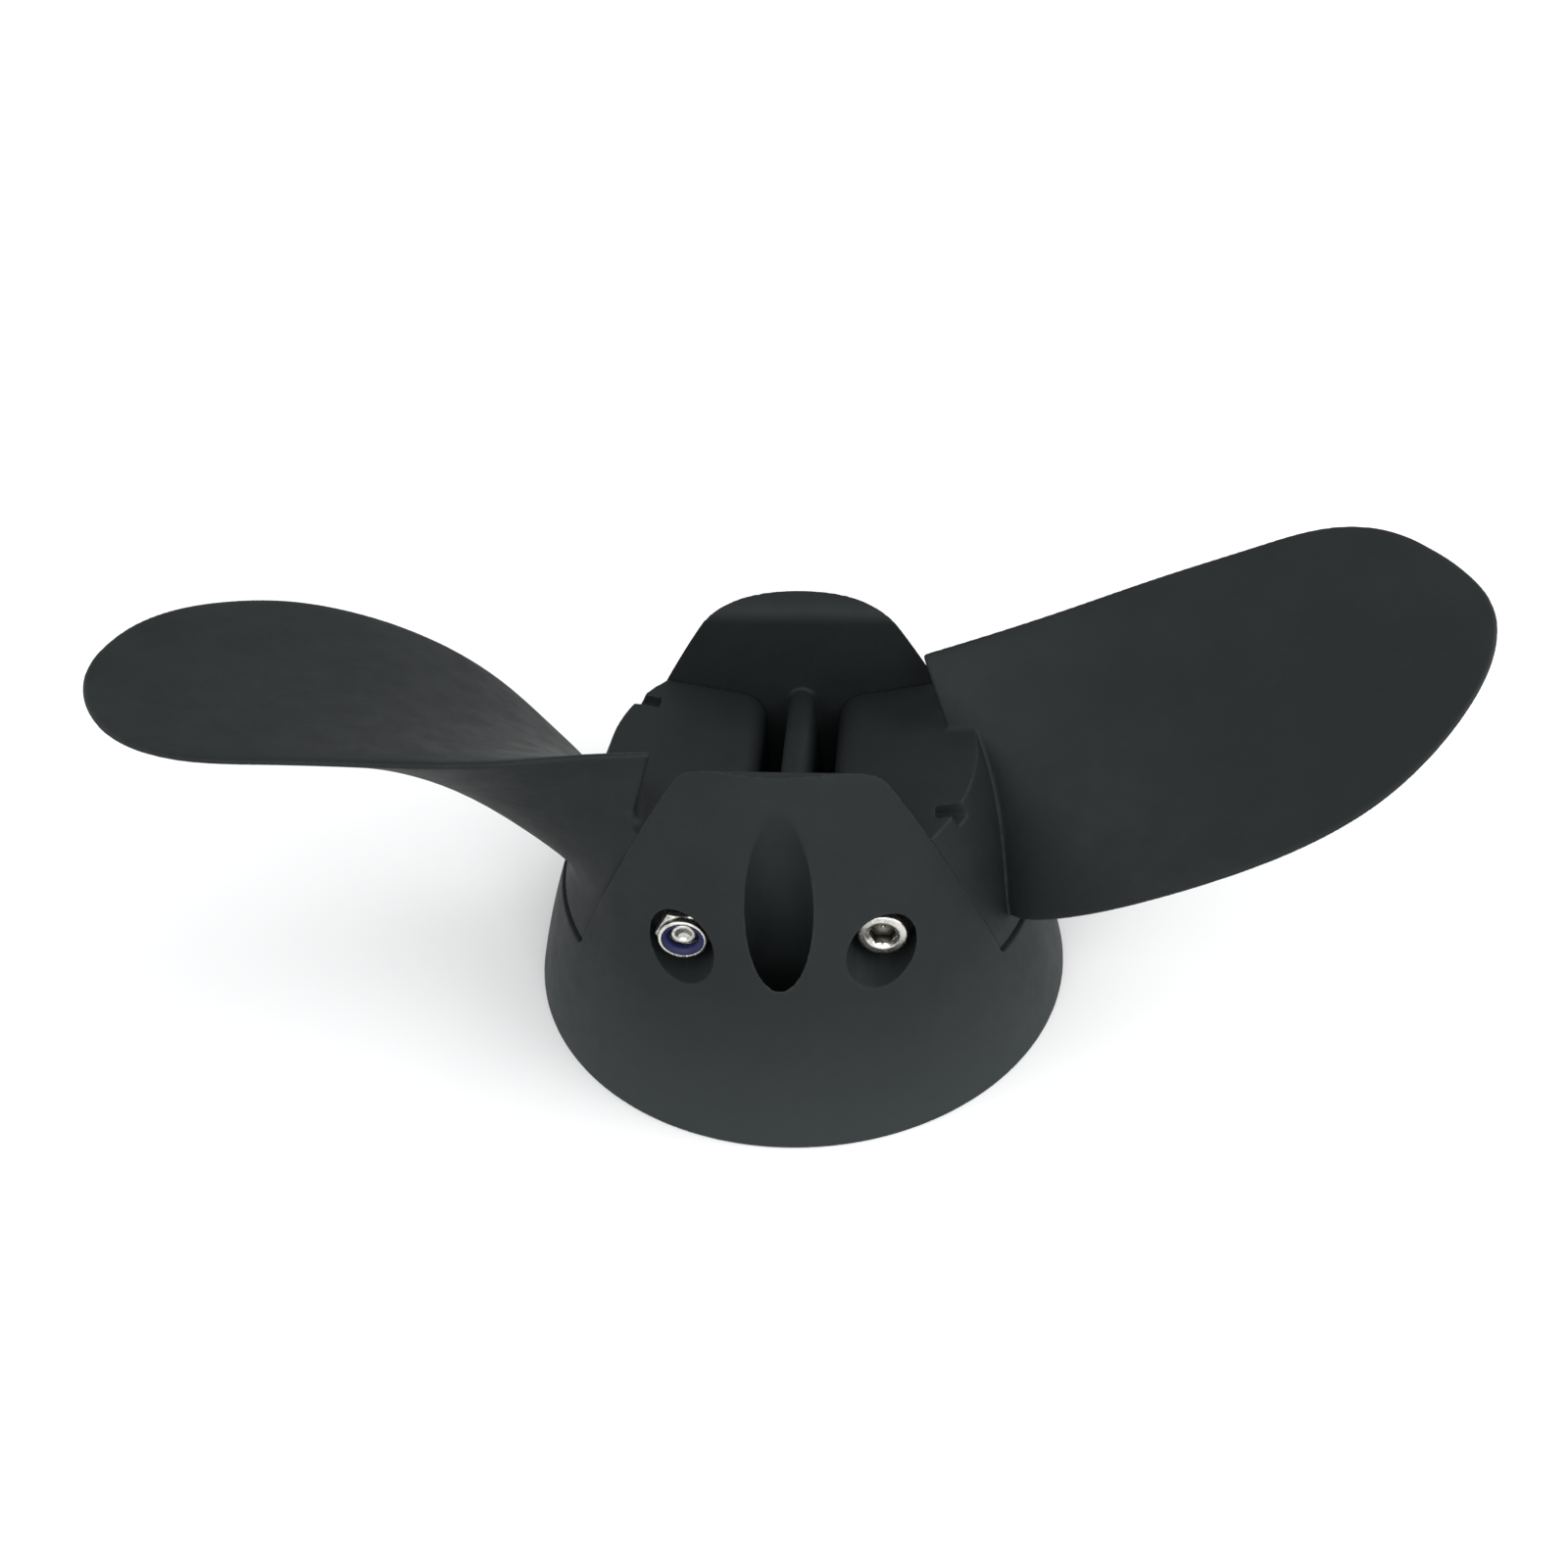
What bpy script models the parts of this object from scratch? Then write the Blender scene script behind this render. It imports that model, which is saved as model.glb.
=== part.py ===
"""Two-blade folding boat propeller with a moulded hub, standing on its base.

Metres, +Z up. The shaft axis is Z, the base rests on z = 0 and the narrow
aft end points up. The blades are shown open, one towards +X and one towards
-X, and each one folds aft on a screw that runs along Y.
"""
import math

import bmesh
import bpy
import numpy as np
from mathutils import Matrix, Vector

MM = 0.001
GAP = 0.3 * MM
WELD = 0.002 * MM
OVERLAP = 1.0 * MM
MARGIN = 5.0 * MM
SMOOTH_ANGLE = math.radians(30.0)

# Hub: a turned body, rounded near the base and conical above the shoulder
BASE_RADIUS = 58.0 * MM
HUB_HEIGHT = 75.3 * MM
SHOULDER_HEIGHT = 36.0 * MM
BASE_TAPER = math.radians(11.4)
CONE_TAPER = math.radians(21.8)
RIM_CHAMFER = 0.3 * MM
HUB_SEGMENTS = 96

# Slot that holds the blade knuckles, open at the top and at both sides
SLOT_HALF_WIDTH = 26.3 * MM
SLOT_FLOOR = 25.3 * MM
SLOT_MOUTH_RADIUS = 5.3 * MM

# Stop rib across the slot, between the two knuckles
RIB_TOP = 53.0 * MM
RIB_TOP_WIDTH = 5.6 * MM
RIB_DRAFT = math.radians(3.4)

# Blade pivots: M6 screws along Y, head and nut in counterbores
PIVOT_X = 19.8 * MM
PIVOT_Z = 39.6 * MM
HEAD_SEAT_Y = 30.5 * MM
NUT_SEAT_Y = 33.0 * MM
COUNTERBORE_RADIUS = 6.75 * MM
SCREW_RADIUS = 3.0 * MM
SCREW_LENGTH = 68.5 * MM
SCREW_END_CHAMFER = 0.6 * MM
HEAD_RADIUS = 5.0 * MM
HEAD_HEIGHT = 6.0 * MM
HEAD_CHAMFER = 0.4 * MM
HEX_KEY_SIZE = 5.0 * MM
HEX_KEY_DEPTH = 3.0 * MM
NUT_ACROSS_FLATS = 10.0 * MM
NUT_HEX_HEIGHT = 4.4 * MM
NUT_HEIGHT = 6.0 * MM
COLLAR_RADIUS = 4.9 * MM
NYLON_RADIUS = 4.2 * MM
NYLON_HEIGHT = 2.4 * MM

# Pockets for the two screws that hold the hub on the shaft flange
POCKET_Y = 41.0 * MM
POCKET_RADIUS = 6.7 * MM
POCKET_FLOOR = 14.0 * MM
MOUNT_HOLE_RADIUS = 3.3 * MM

# Underside: a shallow locating recess and a blind shaft socket
RECESS_RADIUS = 30.0 * MM
RECESS_DEPTH = 6.0 * MM
SOCKET_RADIUS = 8.0 * MM
SOCKET_DEPTH = 19.0 * MM

# Blade knuckle
KNUCKLE_GAP = 0.5 * MM
KNUCKLE_INSET = 0.8 * MM
BOSS_RADIUS = 13.8 * MM
INNER_REACH = 11.8 * MM
INNER_CORNER = 7.0 * MM
AFT_FACE_SLOPE = math.radians(12.0)
NOTCH_X = 31.6 * MM
NOTCH_Y = 17.5 * MM
NOTCH_LENGTH = 3.6 * MM
NOTCH_DEPTH = 2.0 * MM

# Blade: both edges of the +X blade from root to tip, as (x, y, z) in millimetres
TRAILING_EDGE = ((27.0, 17.4, 69.2), (40.0, 21.5, 71.3), (56.0, 27.2, 73.8),
                 (76.0, 33.2, 78.2), (96.0, 38.3, 82.7), (112.0, 41.0, 85.9),
                 (122.0, 38.4, 86.9), (130.0, 32.0, 86.4), (136.3, 22.5, 85.9))
LEADING_EDGE = ((44.5, -13.0, 27.0), (46.0, -19.6, 29.8), (56.0, -28.5, 37.7),
                (70.0, -35.0, 48.3), (86.0, -37.5, 58.0), (100.0, -36.1, 65.1),
                (112.0, -31.6, 71.1), (122.0, -24.0, 76.3), (130.0, -14.6, 80.7),
                (135.8, -4.0, 83.6), (138.3, 4.0, 84.7))
BLADE_TIP = (139.1, 12.5, 85.4)
TIP_THICKNESS = 2.2 * MM
ROOT_THICKNESS = 5.2 * MM
HOLLOW = 3.0 * MM
ROOT_SWELL = 19.0 * MM
SWELL_DECAY = 2.1
SWELL_SHARPNESS = 1.3
CHEEK_REACH = 38.0 * MM
CHEEK_CLEARANCE = 0.8 * MM
BLADE_STATIONS = 22
CHORD_STEPS = 9


def clear_scene():
    """Remove every object of the start-up scene."""
    for old in list(bpy.data.objects):
        bpy.data.objects.remove(old, do_unlink=True)


def make_material(name, colour, roughness, metallic=0.0):
    """One Principled material with a plain colour."""
    material = bpy.data.materials.new(name)
    material.use_nodes = True
    shader = material.node_tree.nodes["Principled BSDF"]
    shader.inputs["Base Color"].default_value = (*colour, 1.0)
    shader.inputs["Roughness"].default_value = roughness
    shader.inputs["Metallic"].default_value = metallic
    return material


def add_object(name, mesh_data, material, origin=(0.0, 0.0, 0.0)):
    """Turn a bmesh into a named object, shaded smooth up to an angle."""
    bmesh.ops.recalc_face_normals(mesh_data, faces=mesh_data.faces)
    bmesh.ops.translate(mesh_data, vec=-Vector(origin), verts=mesh_data.verts)
    mesh = bpy.data.meshes.new(name)
    mesh_data.to_mesh(mesh)
    mesh_data.free()
    if material is not None:
        mesh.materials.append(material)
    mesh.shade_smooth()
    mesh.set_sharp_from_angle(angle=SMOOTH_ANGLE)
    thing = bpy.data.objects.new(name, mesh)
    thing.location = origin
    bpy.context.scene.collection.objects.link(thing)
    return thing


def prism(outline, axis, start, end):
    """Closed solid between two copies of a flat outline.

    The outline's pairs are (x, z) where the axis is "Y", (y, z) where it is
    "X" and (x, y) where it is "Z".
    """
    place = {"X": lambda a, b, c: (c, a, b),
             "Y": lambda a, b, c: (a, c, b),
             "Z": lambda a, b, c: (a, b, c)}[axis]
    body = bmesh.new()
    low = [body.verts.new(place(a, b, start)) for a, b in outline]
    high = [body.verts.new(place(a, b, end)) for a, b in outline]
    body.faces.new(low)
    body.faces.new(list(reversed(high)))
    for index in range(len(outline)):
        after = (index + 1) % len(outline)
        body.faces.new((low[index], high[index], high[after], low[after]))
    return body


def circle(radius, segments, centre=(0.0, 0.0)):
    """Points of a circle, as pairs."""
    turns = [2.0 * math.pi * index / segments for index in range(segments)]
    return [(centre[0] + radius * math.cos(turn),
             centre[1] + radius * math.sin(turn)) for turn in turns]


def turned(profile, segments):
    """Solid turned about Z from (radius, z) pairs, both ends on the axis."""
    body = bmesh.new()
    rings = []
    for radius, height in profile[1:-1]:
        rings.append([body.verts.new((x, y, height))
                      for x, y in circle(radius, segments)])
    bottom = body.verts.new((0.0, 0.0, profile[0][1]))
    top = body.verts.new((0.0, 0.0, profile[-1][1]))
    for index in range(segments):
        after = (index + 1) % segments
        body.faces.new((bottom, rings[0][after], rings[0][index]))
        body.faces.new((top, rings[-1][index], rings[-1][after]))
        for lower, upper in zip(rings, rings[1:]):
            body.faces.new((lower[index], lower[after],
                            upper[after], upper[index]))
    return body


def add_cutter(name, mesh_data):
    """A shape that only cuts another one."""
    cutter = add_object(name, mesh_data, None)
    cutter.hide_render = True
    cutter.display_type = "WIRE"
    return cutter


def combine(target, other, operation):
    """Boolean modifier between two objects, left on the target."""
    modifier = target.modifiers.new(other.name, "BOOLEAN")
    modifier.operation = operation
    modifier.object = other
    modifier.solver = "EXACT"


def settle(thing):
    """Keep the cut shape as the object's mesh, with its sharp edges marked."""
    shape = thing.evaluated_get(bpy.context.evaluated_depsgraph_get())
    mesh = bpy.data.meshes.new_from_object(shape)
    thing.modifiers.clear()
    cleaned = bmesh.new()
    cleaned.from_mesh(mesh)
    bmesh.ops.remove_doubles(cleaned, verts=cleaned.verts, dist=WELD)
    bmesh.ops.dissolve_degenerate(cleaned, edges=cleaned.edges, dist=WELD)
    cleaned.to_mesh(mesh)
    cleaned.free()
    thing.data = mesh
    mesh.name = thing.name
    mesh.shade_smooth()
    mesh.set_sharp_from_angle(angle=SMOOTH_ANGLE)
    return thing


def hub_radius(height):
    """Outer radius of the hub at a height: an arc, then a cone."""
    bend = SHOULDER_HEIGHT / (math.sin(CONE_TAPER) - math.sin(BASE_TAPER))
    curved = min(height, SHOULDER_HEIGHT)
    taper = math.asin(math.sin(BASE_TAPER) + curved / bend)
    radius = BASE_RADIUS - bend * (math.cos(BASE_TAPER) - math.cos(taper))
    return radius - max(height - SHOULDER_HEIGHT, 0.0) * math.tan(CONE_TAPER)


def hub_profile(inset=0.0, bottom=0.0, top=HUB_HEIGHT):
    """Turning profile of the hub, moved in by an inset."""
    arc_steps = 8
    heights = [SHOULDER_HEIGHT * index / arc_steps
               for index in range(arc_steps + 1)]
    heights = [height for height in heights if bottom < height < top]
    sides = [(hub_radius(height) - inset, height)
             for height in [bottom, *heights, top]]
    return [(0.0, bottom), *sides, (0.0, top)]


def chamfered(profile, size):
    """The same turning profile with its bottom corner cut off."""
    radius, height = profile[1]
    taper = size * math.tan(BASE_TAPER)
    corner = [(radius - size, height), (radius - taper, height + size)]
    return [profile[0], *corner, *profile[2:]]


def slot_outline():
    """Section of the slot in (y, z), with a rounded mouth."""
    steps = 6
    above = HUB_HEIGHT + MARGIN
    side = []
    for index in range(steps + 1):
        turn = 0.5 * math.pi * index / steps
        side.append((SLOT_HALF_WIDTH
                     + SLOT_MOUTH_RADIUS * (1.0 - math.cos(turn)),
                     HUB_HEIGHT - SLOT_MOUTH_RADIUS * (1.0 - math.sin(turn))))
    right = [(SLOT_HALF_WIDTH, SLOT_FLOOR), *side, (side[-1][0], above)]
    left = [(-y, z) for y, z in reversed(right)]
    return right + left


def rib_outline():
    """Section of the stop rib in (x, z), drafted and with a round crest."""
    steps = 8
    crest = 0.5 * RIB_TOP_WIDTH
    shoulder = RIB_TOP - crest
    foot = SLOT_FLOOR - OVERLAP
    half_foot = crest + (shoulder - foot) * math.tan(RIB_DRAFT)
    arc = [(crest * math.cos(math.pi * index / steps),
            shoulder + crest * math.sin(math.pi * index / steps))
           for index in range(steps + 1)]
    return [(half_foot, foot), *arc, (-half_foot, foot)]


def make_hub(material):
    """Hub moulding: turned body, slot, stop rib, pivot bores and pockets."""
    far = 2.0 * BASE_RADIUS
    hub = add_object("hub_body",
                     turned(chamfered(hub_profile(), RIM_CHAMFER),
                            HUB_SEGMENTS), material)
    slot = add_cutter("slot_cutter", prism(slot_outline(), "X", -far, far))
    combine(hub, slot, "DIFFERENCE")
    reach = SLOT_HALF_WIDTH + OVERLAP
    rib = add_cutter("rib_shape", prism(rib_outline(), "Y", -reach, reach))
    combine(hub, rib, "UNION")
    for side, label in ((1.0, "right"), (-1.0, "left")):
        centre = (side * PIVOT_X, PIVOT_Z)
        bore = circle(SCREW_RADIUS + GAP, 24, centre)
        combine(hub, add_cutter("bore_" + label,
                                prism(bore, "Y", -far, far)), "DIFFERENCE")
        mouth = circle(COUNTERBORE_RADIUS, 36, centre)
        for end, place in ((-1.0, "front"), (1.0, "rear")):
            seat = HEAD_SEAT_Y if end * side < 0.0 else NUT_SEAT_Y
            counterbore = prism(mouth, "Y", end * seat, end * far)
            name = "counterbore_" + label + "_" + place
            combine(hub, add_cutter(name, counterbore), "DIFFERENCE")
    for end, place in ((-1.0, "front"), (1.0, "rear")):
        centre = (0.0, end * POCKET_Y)
        pocket = prism(circle(POCKET_RADIUS, 36, centre), "Z",
                       POCKET_FLOOR, HUB_HEIGHT)
        combine(hub, add_cutter("pocket_" + place, pocket), "DIFFERENCE")
        hole = prism(circle(MOUNT_HOLE_RADIUS, 24, centre), "Z",
                     -POCKET_FLOOR, POCKET_FLOOR + OVERLAP)
        combine(hub, add_cutter("mount_hole_" + place, hole), "DIFFERENCE")
    recess = prism(circle(RECESS_RADIUS, 64), "Z", -far, RECESS_DEPTH)
    combine(hub, add_cutter("recess", recess), "DIFFERENCE")
    socket = prism(circle(SOCKET_RADIUS, 36), "Z", -far, SOCKET_DEPTH)
    combine(hub, add_cutter("shaft_socket", socket), "DIFFERENCE")
    return settle(hub)


def arc_points(centre, radius, start, end, steps):
    """Points along an arc between two angles, as pairs."""
    turns = [start + (end - start) * index / steps
             for index in range(steps + 1)]
    return [(centre[0] + radius * math.cos(turn),
             centre[1] + radius * math.sin(turn)) for turn in turns]


def knuckle_outline():
    """Side view of the +X knuckle in (x, z).

    The sloping aft face turns through a round corner into a flat inner face,
    and that runs into the arc of the boss below the pivot.
    """
    far = BASE_RADIUS
    corner_x = INNER_CORNER - INNER_REACH
    corner_z = ((BOSS_RADIUS - INNER_CORNER + corner_x * math.sin(AFT_FACE_SLOPE))
                / math.cos(AFT_FACE_SLOPE))
    corner = arc_points((PIVOT_X + corner_x, PIVOT_Z + corner_z), INNER_CORNER,
                        0.5 * math.pi + AFT_FACE_SLOPE, math.pi, 6)
    boss = arc_points((PIVOT_X, PIVOT_Z), BOSS_RADIUS,
                      2.0 * math.pi - math.acos(-INNER_REACH / BOSS_RADIUS),
                      1.5 * math.pi, 6)
    aft_x, aft_z = corner[0]
    aft_end = aft_z + (far - aft_x) * math.tan(AFT_FACE_SLOPE)
    return [*corner, *boss, (far, boss[-1][1]), (far, aft_end)]


def spline_points(corners, beyond, count):
    """Points along a smooth curve that heads for a point beyond its end."""
    knots = [Vector(corner) * MM for corner in corners]
    before = knots[0] * 2.0 - knots[1]
    padded = [before, *knots, Vector(beyond) * MM]
    fine = []
    steps = 12
    for index in range(len(knots) - 1):
        a, b, c, d = padded[index:index + 4]
        for step in range(steps):
            t = step / steps
            fine.append(0.5 * (2.0 * b + (c - a) * t
                               + (2.0 * a - 5.0 * b + 4.0 * c - d) * t * t
                               + (3.0 * b - a - 3.0 * c + d) * t ** 3))
    fine.append(knots[-1])
    lengths = [0.0]
    for first, second in zip(fine, fine[1:]):
        lengths.append(lengths[-1] + (second - first).length)
    wanted = np.array([station_fraction(index, count)
                       for index in range(count + 1)]) * lengths[-1]
    columns = np.array([tuple(point) for point in fine]).T
    return [Vector(row) for row in
            np.array([np.interp(wanted, lengths, c) for c in columns]).T]


def station_fraction(index, count):
    """Station spacing that closes up towards the tip."""
    return math.sin(0.5 * math.pi * index / count)


def section_ring(leading, trailing, span_dir, outboard):
    """One closed blade section, hollow aft and swollen forward at the root."""
    chord = trailing - leading
    normal = span_dir.cross(chord).normalized()
    thickness = ROOT_THICKNESS + (TIP_THICKNESS - ROOT_THICKNESS) * outboard
    thickness = min(thickness, 0.3 * chord.length)
    hollow = HOLLOW * (1.0 - outboard ** 2)
    swell = ROOT_SWELL * (1.0 - outboard) ** SWELL_DECAY
    aft, fore = [], []
    for step in range(1, CHORD_STEPS):
        along = 0.5 * (1.0 - math.cos(math.pi * step / CHORD_STEPS))
        bulge = 4.0 * along * (1.0 - along)
        half = 0.5 * thickness * math.sqrt(bulge)
        middle = leading + chord * along - normal * hollow * bulge
        aft.append(middle + normal * half)
        fore.append(middle - normal * (half + swell * bulge ** SWELL_SHARPNESS))
    return [leading, *aft, trailing, *reversed(fore)]


def passing_limit(point):
    """Largest y that lets a point near the pivot fold past the rear cheek."""
    reach = math.hypot(point.x - PIVOT_X, point.z - PIVOT_Z)
    return SLOT_HALF_WIDTH - CHEEK_CLEARANCE + max(0.0, reach - CHEEK_REACH)


def blade_shape():
    """Loft of the +X blade from its swollen root to its round tip."""
    tip = Vector(BLADE_TIP) * MM
    trailing = spline_points((*TRAILING_EDGE, BLADE_TIP), LEADING_EDGE[-1],
                             BLADE_STATIONS)
    leading = spline_points((*LEADING_EDGE, BLADE_TIP), TRAILING_EDGE[-1],
                            BLADE_STATIONS)
    span_dir = (tip - (trailing[0] + leading[0]) * 0.5).normalized()
    body = bmesh.new()
    rings = []
    for index in range(BLADE_STATIONS):
        ring = section_ring(leading[index], trailing[index], span_dir,
                            station_fraction(index, BLADE_STATIONS))
        for point in ring:
            point.y = min(point.y, passing_limit(point))
        rings.append([body.verts.new(point) for point in ring])
    point = body.verts.new(tip)
    count = len(rings[0])
    body.faces.new(rings[0])
    for index in range(count):
        after = (index + 1) % count
        for inner, outer in zip(rings, rings[1:]):
            body.faces.new((inner[index], inner[after],
                            outer[after], outer[index]))
        body.faces.new((rings[-1][index], rings[-1][after], point))
    return body


def half_turn(body):
    """Turn a shape by half a turn about the shaft axis."""
    bmesh.ops.transform(body, matrix=Matrix.Rotation(math.pi, 4, "Z"),
                        verts=body.verts)
    return body


def notch_shape():
    """Small step cut into the knuckle's outer rim."""
    top = PIVOT_Z + 3.0 * BOSS_RADIUS
    rim = [(NOTCH_X - 0.5 * NOTCH_LENGTH, -NOTCH_Y - 0.5 * NOTCH_LENGTH),
           (NOTCH_X + 2.0 * NOTCH_LENGTH, -NOTCH_Y - 0.5 * NOTCH_LENGTH),
           (NOTCH_X + 2.0 * NOTCH_LENGTH, -NOTCH_Y + 0.5 * NOTCH_LENGTH),
           (NOTCH_X - 0.5 * NOTCH_LENGTH, -NOTCH_Y + 0.5 * NOTCH_LENGTH)]
    aft_face = (PIVOT_Z + BOSS_RADIUS * math.cos(AFT_FACE_SLOPE)
                + (NOTCH_X - PIVOT_X) * math.tan(AFT_FACE_SLOPE))
    return prism(rim, "Z", aft_face - NOTCH_DEPTH, top)


def hub_clearance(label):
    """Space that the hub fills, which the blade's root stays out of."""
    top = HUB_HEIGHT + MARGIN
    half = SLOT_HALF_WIDTH - GAP
    floor = SLOT_FLOOR + GAP
    clearance = add_cutter("clearance_" + label,
                           turned(hub_profile(-GAP), HUB_SEGMENTS))
    slot = [(-half, floor), (half, floor), (half, top), (-half, top)]
    far = 2.0 * BASE_RADIUS
    combine(clearance, add_cutter("slot_space_" + label,
                                  prism(slot, "X", -far, far)), "DIFFERENCE")
    return clearance


def make_blade(label, side, material):
    """One blade moulding, its origin on its pivot."""
    def turn(body):
        return body if side > 0.0 else half_turn(body)

    width = SLOT_HALF_WIDTH - KNUCKLE_GAP
    blade = add_object("blade_" + label,
                       turn(prism(knuckle_outline(), "Y", -width, width)),
                       material, origin=(side * PIVOT_X, 0.0, PIVOT_Z))
    skin = add_cutter("skin_" + label,
                      turned(hub_profile(KNUCKLE_INSET, OVERLAP,
                                         HUB_HEIGHT - OVERLAP), HUB_SEGMENTS))
    combine(blade, skin, "INTERSECT")
    foil = add_cutter("foil_" + label, turn(blade_shape()))
    combine(blade, foil, "UNION")
    combine(blade, hub_clearance(label), "DIFFERENCE")
    combine(blade, add_cutter("notch_" + label, turn(notch_shape())),
            "DIFFERENCE")
    bore = circle(SCREW_RADIUS + GAP, 24, (PIVOT_X, PIVOT_Z))
    far = 2.0 * BASE_RADIUS
    combine(blade, add_cutter("pivot_" + label,
                              turn(prism(bore, "Y", -far, far))),
            "DIFFERENCE")
    return settle(blade)


def along_pivot(body, side):
    """Turn a shape made along Z onto a pivot, its start at the front."""
    # The left pivot is the right one turned half round the shaft axis
    onto_y = Matrix.Rotation(-0.5 * math.pi, 4, "X")
    place = Matrix.Translation((PIVOT_X, 0.0, PIVOT_Z))
    whole = place @ onto_y
    if side < 0.0:
        whole = Matrix.Rotation(math.pi, 4, "Z") @ whole
    bmesh.ops.transform(body, matrix=whole, verts=body.verts)
    return body


def make_screw(label, side, material):
    """Socket-head screw, its head at the front on the right pivot."""
    seat = -HEAD_SEAT_Y - GAP
    head_top = seat - HEAD_HEIGHT
    end = seat + SCREW_LENGTH
    profile = [(0.0, head_top), (HEAD_RADIUS - HEAD_CHAMFER, head_top),
               (HEAD_RADIUS, head_top + HEAD_CHAMFER), (HEAD_RADIUS, seat),
               (SCREW_RADIUS, seat), (SCREW_RADIUS, end - SCREW_END_CHAMFER),
               (SCREW_RADIUS - SCREW_END_CHAMFER, end), (0.0, end)]
    screw = add_object("pivot_screw_" + label,
                       along_pivot(turned(profile, 24), side), material)
    hexagon = circle(0.5 * HEX_KEY_SIZE / math.cos(math.pi / 6.0), 6)
    key = prism(hexagon, "Z", head_top - OVERLAP, head_top + HEX_KEY_DEPTH)
    combine(screw, add_cutter("key_" + label, along_pivot(key, side)),
            "DIFFERENCE")
    return settle(screw)


def make_nut(label, side, material):
    """Lock nut: hexagon, round collar and a recess for the nylon ring."""
    seat = NUT_SEAT_Y + GAP
    flats = circle(0.5 * NUT_ACROSS_FLATS / math.cos(math.pi / 6.0), 6)
    nut = add_object("lock_nut_" + label,
                     along_pivot(prism(flats, "Z", seat,
                                       seat + NUT_HEX_HEIGHT), side),
                     material)
    collar = prism(circle(COLLAR_RADIUS, 24), "Z", seat + OVERLAP,
                   seat + NUT_HEIGHT)
    combine(nut, add_cutter("collar_" + label, along_pivot(collar, side)),
            "UNION")
    bore = prism(circle(SCREW_RADIUS + GAP, 24), "Z", 0.0,
                 seat + 2.0 * NUT_HEIGHT)
    combine(nut, add_cutter("nut_bore_" + label, along_pivot(bore, side)),
            "DIFFERENCE")
    seat_ring = prism(circle(NYLON_RADIUS + GAP, 24), "Z",
                      seat + NUT_HEIGHT - NYLON_HEIGHT - GAP,
                      seat + 2.0 * NUT_HEIGHT)
    combine(nut, add_cutter("ring_seat_" + label,
                            along_pivot(seat_ring, side)), "DIFFERENCE")
    return settle(nut)


def make_nylon_ring(label, side, material):
    """Nylon ring that grips the screw inside the nut's collar."""
    top = NUT_SEAT_Y + GAP + NUT_HEIGHT
    ring = add_object("nylon_ring_" + label,
                      along_pivot(prism(circle(NYLON_RADIUS, 24), "Z",
                                        top - NYLON_HEIGHT, top), side),
                      material)
    bore = prism(circle(SCREW_RADIUS + GAP, 24), "Z", 0.0, 2.0 * top)
    combine(ring, add_cutter("ring_bore_" + label, along_pivot(bore, side)),
            "DIFFERENCE")
    return settle(ring)


def main():
    """Build the propeller with both blades open."""
    clear_scene()
    composite = make_material("black_composite", (0.022, 0.024, 0.025), 0.5)
    steel = make_material("stainless_steel", (0.62, 0.61, 0.58), 0.25, 1.0)
    nylon = make_material("blue_nylon", (0.06, 0.09, 0.35), 0.4)
    make_hub(composite)
    for label, side in (("right", 1.0), ("left", -1.0)):
        make_blade(label, side, composite)
        make_screw(label, side, steel)
        make_nut(label, side, steel)
        make_nylon_ring(label, side, nylon)


main()
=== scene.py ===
"""Dressed scene of the folding boat propeller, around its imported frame."""
import math

import bmesh
import bpy
import numpy as np
from mathutils import Matrix, Vector
from mathutils.bvhtree import BVHTree


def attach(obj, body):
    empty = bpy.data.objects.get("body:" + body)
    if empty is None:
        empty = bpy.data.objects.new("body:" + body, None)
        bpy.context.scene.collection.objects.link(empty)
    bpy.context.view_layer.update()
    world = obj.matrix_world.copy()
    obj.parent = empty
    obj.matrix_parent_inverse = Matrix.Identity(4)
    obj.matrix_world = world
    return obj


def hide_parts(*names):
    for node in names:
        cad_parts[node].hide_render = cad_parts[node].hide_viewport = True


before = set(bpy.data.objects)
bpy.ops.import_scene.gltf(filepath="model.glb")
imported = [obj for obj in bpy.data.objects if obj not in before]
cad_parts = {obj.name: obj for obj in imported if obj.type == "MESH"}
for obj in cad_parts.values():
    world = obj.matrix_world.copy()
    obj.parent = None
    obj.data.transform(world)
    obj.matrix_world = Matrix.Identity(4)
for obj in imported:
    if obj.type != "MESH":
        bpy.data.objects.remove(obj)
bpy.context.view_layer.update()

MM = 0.001

# Hub, in millimetres: a turned body with a slot from side to side
BASE_RADIUS = 58.0
HUB_HEIGHT = 75.3
SHOULDER_HEIGHT = 36.0
ARC_FOOT = -2.0
BASE_TAPER = math.radians(11.4)
CONE_TAPER = math.radians(21.8)
SLOT_HALF_WIDTH = 26.3
SLOT_FLOOR = 25.3
SLOT_MOUTH_RADIUS = 5.3
RIB_TOP = 53.0
RIB_TOP_WIDTH = 5.6
RIB_DRAFT = math.radians(3.4)
PIVOT_X = 19.8
PIVOT_Z = 39.6
HEAD_SEAT_Y = 30.5
NUT_SEAT_Y = 33.0
COUNTERBORE_RADIUS = 6.75
POCKET_Y = 41.0
POCKET_RADIUS = 6.7
POCKET_FLOOR = 14.0
MOUNT_HOLE_RADIUS = 3.3
RECESS_RADIUS = 30.0
RECESS_DEPTH = 6.0
SOCKET_RADIUS = 8.0
SOCKET_DEPTH = 19.0
CLEARANCE = 0.3
RIB_OVERLAP = 1.0

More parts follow.
